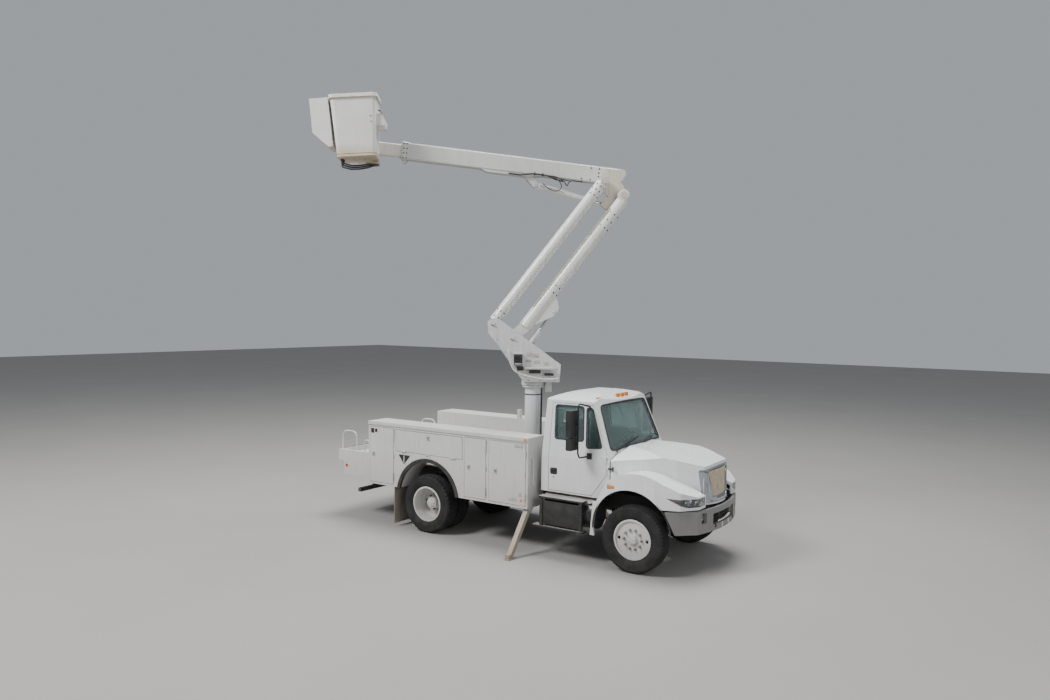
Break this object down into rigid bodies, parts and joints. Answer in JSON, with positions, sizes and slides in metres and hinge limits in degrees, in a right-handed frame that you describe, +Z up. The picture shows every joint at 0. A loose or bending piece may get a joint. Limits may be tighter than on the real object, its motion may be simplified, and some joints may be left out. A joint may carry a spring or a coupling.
{
  "type": "cherry picker truck",
  "caption": "White utility truck with locker boxes, a fold-out articulated boom on a turret and a deep bucket.",
  "frame": {"origin": "middle of the whole outline in plan, at ground height under the tyres", "axes": "+X forward, +Y to the driver's left, +Z up"},
  "size_m": [7.023, 4.2992, 7.341],
  "materials": {
    "paint_white": "gloss",
    "frame_black": "satin",
    "castings": "rough",
    "tyre_rubber": "matte",
    "trim_rubber": "matte",
    "bright_chrome": "polished",
    "bare_aluminium": "satin",
    "polished_rod": "polished",
    "window_glass": "clear",
    "lamp_plastic": "gloss",
    "lamp_clear": "clear",
    "black_plastic": "matte",
    "bucket_shell": "satin",
    "cab_fabric": "matte",
    "bumper_grey": "satin"
  },
  "bodies": {
    "chassis": {"frame_rails": "frame_black", "rear_bar": "frame_black", "powertrain": "castings", "axles": "frame_black", "cab_shell": "paint_white", "cab_glass": "window_glass", "cab_interior": "cab_fabric", "front_bumper": "bumper_grey", "tanks_and_steps": "bare_aluminium", "locker_tubs": "paint_white", "locker_faces": "paint_white", "service_bed": "paint_white", "mud_guards": "trim_rubber", "tail_shelf": "paint_white", "marker_lamps": "lamp_plastic", "pedestal": "paint_white"},
    "steering_knuckle_right": {"steering_knuckle_right": "castings"},
    "steering_knuckle_left": {"steering_knuckle_left": "castings"},
    "wheel_front_right": {"tyre_front_right": "tyre_rubber", "wheel_front_right": "paint_white"},
    "wheels_rear_right": {"tyres_rear_right": "tyre_rubber", "wheels_rear_right": "paint_white"},
    "wheel_front_left": {"tyre_front_left": "tyre_rubber", "wheel_front_left": "paint_white"},
    "wheels_rear_left": {"tyres_rear_left": "tyre_rubber", "wheels_rear_left": "paint_white"},
    "cab_door_right": {"cab_door_right": "paint_white", "door_glass_right": "window_glass", "mirror_right": "black_plastic"},
    "cab_door_left": {"cab_door_left": "paint_white", "door_glass_left": "window_glass", "mirror_left": "black_plastic"},
    "hood": {"hood": "paint_white", "headlamps": "lamp_clear", "grille": "bright_chrome"},
    "locker_rear_right": {"locker_door_rear_right": "paint_white"},
    "locker_well_right": {"locker_door_well_right": "paint_white"},
    "locker_middle_right": {"locker_door_middle_right": "paint_white"},
    "locker_front_right": {"locker_door_front_right": "paint_white"},
    "locker_rear_left": {"locker_door_rear_left": "paint_white"},
    "locker_well_left": {"locker_door_well_left": "paint_white"},
    "locker_middle_left": {"locker_door_middle_left": "paint_white"},
    "locker_front_left": {"locker_door_front_left": "paint_white"},
    "outrigger_leg_right": {"outrigger_leg_right": "paint_white"},
    "outrigger_leg_left": {"outrigger_leg_left": "paint_white"},
    "turret": {"turret": "paint_white"},
    "main_arm": {"main_arm": "paint_white"},
    "link_arm": {"link_arm": "paint_white"},
    "elbow": {"elbow": "paint_white"},
    "lift_barrel": {"lift_barrel": "paint_white"},
    "lift_rod": {"lift_rod": "polished_rod"},
    "boom_barrel": {"boom_barrel": "paint_white"},
    "boom_rod": {"boom_rod": "polished_rod"},
    "outer_boom": {"outer_boom": "paint_white", "boom_hoses": "trim_rubber"},
    "inner_boom": {"inner_boom": "paint_white"},
    "bucket_mount": {"bucket": "bucket_shell", "bucket_mount": "paint_white", "bucket_fittings": "bucket_shell", "bucket_hose": "trim_rubber"}
  },
  "joints": [
    {"name": "hood_hinge", "type": "hinge", "parent": "chassis", "child": "hood", "pos_m": [3.3915, 0.46959, 1], "axis": [0, 1, 0], "range_deg": [0, 60]},
    {"name": "cab_door_right_hinge", "type": "hinge", "parent": "chassis", "child": "cab_door_right", "pos_m": [1.991, -0.54441, 1.45], "axis": [0, 0, 1], "range_deg": [0, 70]},
    {"name": "locker_rear_right_hinge", "type": "hinge", "parent": "chassis", "child": "locker_rear_right", "pos_m": [-2.097, -0.74441, 1.2435], "axis": [0, 0, 1], "range_deg": [0, 90]},
    {"name": "locker_well_right_hinge", "type": "hinge", "parent": "chassis", "child": "locker_well_right", "pos_m": [-1.3095, -0.74441, 1.3535], "axis": [1, 0, 0], "range_deg": [0, 90]},
    {"name": "locker_middle_right_hinge", "type": "hinge", "parent": "chassis", "child": "locker_middle_right", "pos_m": [-0.095, -0.74441, 1.2435], "axis": [0, 0, 1], "range_deg": [0, 90]},
    {"name": "locker_front_right_hinge", "type": "hinge", "parent": "chassis", "child": "locker_front_right", "pos_m": [0.681, -0.74441, 1.2435], "axis": [0, 0, 1], "range_deg": [0, 90]},
    {"name": "steering_right", "type": "hinge", "parent": "chassis", "child": "steering_knuckle_right", "pos_m": [2.5065, -0.40041, 0.5], "axis": [0, 0, 1], "range_deg": [-33, 33]},
    {"name": "wheel_front_right_spin", "type": "hinge", "parent": "steering_knuckle_right", "child": "wheel_front_right", "pos_m": [2.5065, -0.54541, 0.5], "axis": [0, 1, 0], "continuous": true},
    {"name": "wheels_rear_right_spin", "type": "hinge", "parent": "chassis", "child": "wheels_rear_right", "pos_m": [-1.3545, -0.42541, 0.5], "axis": [0, 1, 0], "continuous": true},
    {"name": "outrigger_right_slide", "type": "slide", "parent": "chassis", "child": "outrigger_leg_right", "axis": [0, 0.6115, 0.7912], "range_m": [0, 0.65]},
    {"name": "cab_door_left_hinge", "type": "hinge", "parent": "chassis", "child": "cab_door_left", "pos_m": [1.991, 1.48359, 1.45], "axis": [0, 0, -1], "range_deg": [0, 70]},
    {"name": "locker_rear_left_hinge", "type": "hinge", "parent": "chassis", "child": "locker_rear_left", "pos_m": [-2.097, 1.68359, 1.2435], "axis": [0, 0, -1], "range_deg": [0, 90]},
    {"name": "locker_well_left_hinge", "type": "hinge", "parent": "chassis", "child": "locker_well_left", "pos_m": [-1.3095, 1.68359, 1.3535], "axis": [-1, 0, 0], "range_deg": [0, 90]},
    {"name": "locker_middle_left_hinge", "type": "hinge", "parent": "chassis", "child": "locker_middle_left", "pos_m": [-0.095, 1.68359, 1.2435], "axis": [0, 0, -1], "range_deg": [0, 90]},
    {"name": "locker_front_left_hinge", "type": "hinge", "parent": "chassis", "child": "locker_front_left", "pos_m": [0.681, 1.68359, 1.2435], "axis": [0, 0, -1], "range_deg": [0, 90]},
    {"name": "steering_left", "type": "hinge", "parent": "chassis", "child": "steering_knuckle_left", "pos_m": [2.5065, 1.33959, 0.5], "axis": [0, 0, 1], "range_deg": [-33, 33]},
    {"name": "wheel_front_left_spin", "type": "hinge", "parent": "steering_knuckle_left", "child": "wheel_front_left", "pos_m": [2.5065, 1.48459, 0.5], "axis": [0, 1, 0], "continuous": true},
    {"name": "wheels_rear_left_spin", "type": "hinge", "parent": "chassis", "child": "wheels_rear_left", "pos_m": [-1.3545, 1.36459, 0.5], "axis": [0, 1, 0], "continuous": true},
    {"name": "outrigger_left_slide", "type": "slide", "parent": "chassis", "child": "outrigger_leg_left", "axis": [0, -0.6115, 0.7912], "range_m": [0, 0.65]},
    {"name": "turret_slew", "type": "hinge", "parent": "chassis", "child": "turret", "pos_m": [0.0265, 0.46959, 2.555], "axis": [0, 0, 1], "continuous": true},
    {"name": "lift", "type": "hinge", "parent": "turret", "child": "main_arm", "pos_m": [-0.19715, 0.144, 3.385], "axis": [0.592, -0.8059, 0], "range_deg": [-47.76, 27.24]},
    {"name": "link_turn", "type": "hinge", "parent": "turret", "child": "link_arm", "pos_m": [-0.46633, -0.05374, 3.622], "axis": [0.592, -0.8059, 0], "range_deg": [-47.76, 27.24]},
    {"name": "elbow_level", "type": "hinge", "parent": "main_arm", "child": "elbow", "pos_m": [1.29769, 1.24206, 5.82507], "axis": [0.592, -0.8059, 0], "range_deg": [-27.24, 47.76]},
    {"name": "lift_barrel_turn", "type": "hinge", "parent": "turret", "child": "lift_barrel", "pos_m": [-0.11656, 0.2032, 2.958], "axis": [0.592, -0.8059, 0], "range_deg": [-36.58, 20.86]},
    {"name": "lift_rod_slide", "type": "slide", "parent": "lift_barrel", "child": "lift_rod", "axis": [0.4474, 0.3286, 0.8318], "range_m": [-0.30124, 0.17181]},
    {"name": "boom", "type": "hinge", "parent": "elbow", "child": "outer_boom", "pos_m": [1.00983, 1.40285, 6.177], "axis": [0.592, -0.8059, 0], "range_deg": [-64.3, 30.7]},
    {"name": "boom_barrel_turn", "type": "hinge", "parent": "outer_boom", "child": "boom_barrel", "pos_m": [-0.08704, 0.59712, 6.028], "axis": [0.592, -0.8059, 0], "range_deg": [-2.99, 6.26]},
    {"name": "boom_rod_slide", "type": "slide", "parent": "boom_barrel", "child": "boom_rod", "axis": [0.779, 0.5722, -0.2563], "range_m": [-0.23933, 0.50126]},
    {"name": "telescope", "type": "slide", "parent": "outer_boom", "child": "inner_boom", "axis": [-0.8019, -0.5891, 0.0993], "range_m": [0, 2.6]},
    {"name": "bucket_level", "type": "hinge", "parent": "inner_boom", "child": "bucket_mount", "pos_m": [-2.45163, -1.13984, 6.606], "axis": [0.592, -0.8059, 0], "range_deg": [-30.7, 64.3]}
  ],
  "couplings": [
    {"joint": "steering_left", "follows": "steering_right", "ratio": 1},
    {"joint": "link_turn", "follows": "lift", "ratio": 1},
    {"joint": "elbow_level", "follows": "lift", "ratio": -1},
    {"joint": "lift_barrel_turn", "follows": "lift", "ratio": 0.76583},
    {"joint": "lift_rod_slide", "follows": "lift", "m_per_rad": 0.36139},
    {"joint": "boom_barrel_turn", "follows": "boom", "ratio": -0.097362},
    {"joint": "boom_rod_slide", "follows": "boom", "m_per_rad": -0.44666},
    {"joint": "bucket_level", "follows": "boom", "ratio": -1}
  ]
}
